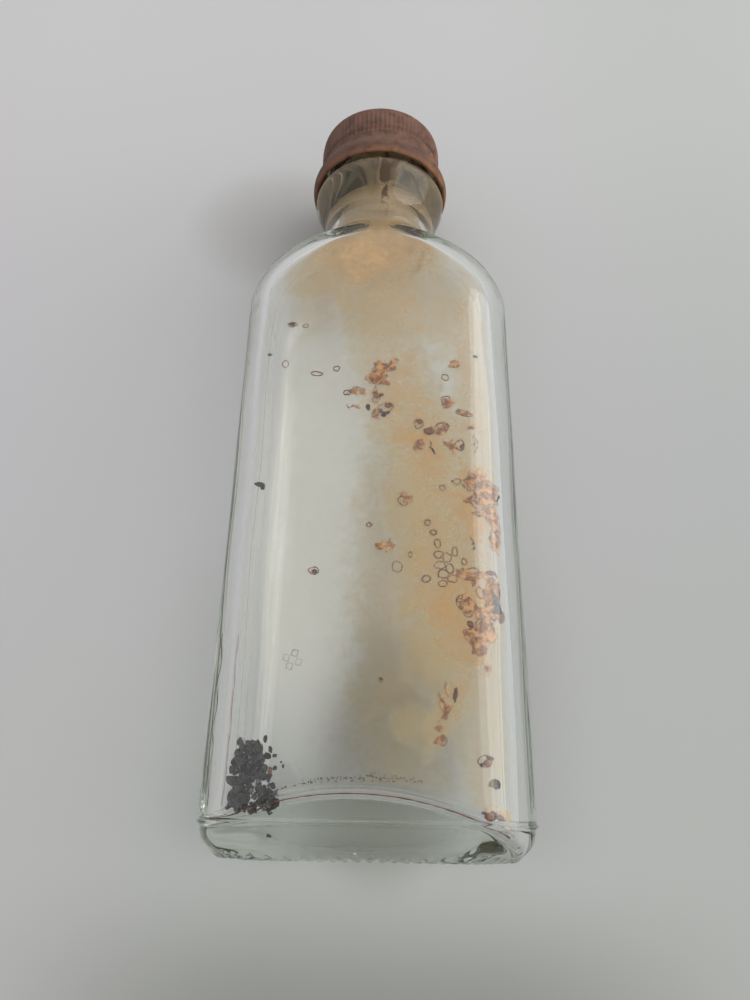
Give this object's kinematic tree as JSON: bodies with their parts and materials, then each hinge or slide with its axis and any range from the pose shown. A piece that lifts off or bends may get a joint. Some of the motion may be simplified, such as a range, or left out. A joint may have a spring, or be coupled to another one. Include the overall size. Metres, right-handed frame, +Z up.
{
  "type": "medicine bottle",
  "caption": "Flat clear glass medicine bottle on its back: knurled base, arched floor, round shoulders, beaded neck and a ribbed, flared steel screw cap with a liner, which unscrews.",
  "frame": {"origin": "on the surface the bottle lies on, under the middle of its length and width", "axes": "+Y along the bottle towards the cap, +Z up through the front panel, +X across its width"},
  "size_m": [0.048, 0.1394, 0.029],
  "materials": {
    "glass": "clear, polished, faint grey-green in the thick edges",
    "cap_steel": "rusted all over, matte",
    "waxed_paper": "waxed, stained",
    "pulpboard": "matte"
  },
  "bodies": {
    "bottle": {"glass_bottle": "glass"},
    "liner": {"liner_facing": "waxed_paper", "liner_board": "pulpboard"},
    "cap": {"cap_shell": "cap_steel"}
  },
  "joints": [
    {"name": "cap_lift", "type": "slide", "parent": "bottle", "child": "liner", "axis": [0, 1, 0], "range_m": [0, 0.0159]},
    {"name": "cap_turn", "type": "hinge", "parent": "liner", "child": "cap", "pos_m": [0, 0.0697, 0.0145], "axis": [0, 1, 0], "range_deg": [0, 1800]}
  ],
  "couplings": [
    {"joint": "cap_lift", "follows": "cap_turn", "m_per_rad": 0.00050532}
  ]
}
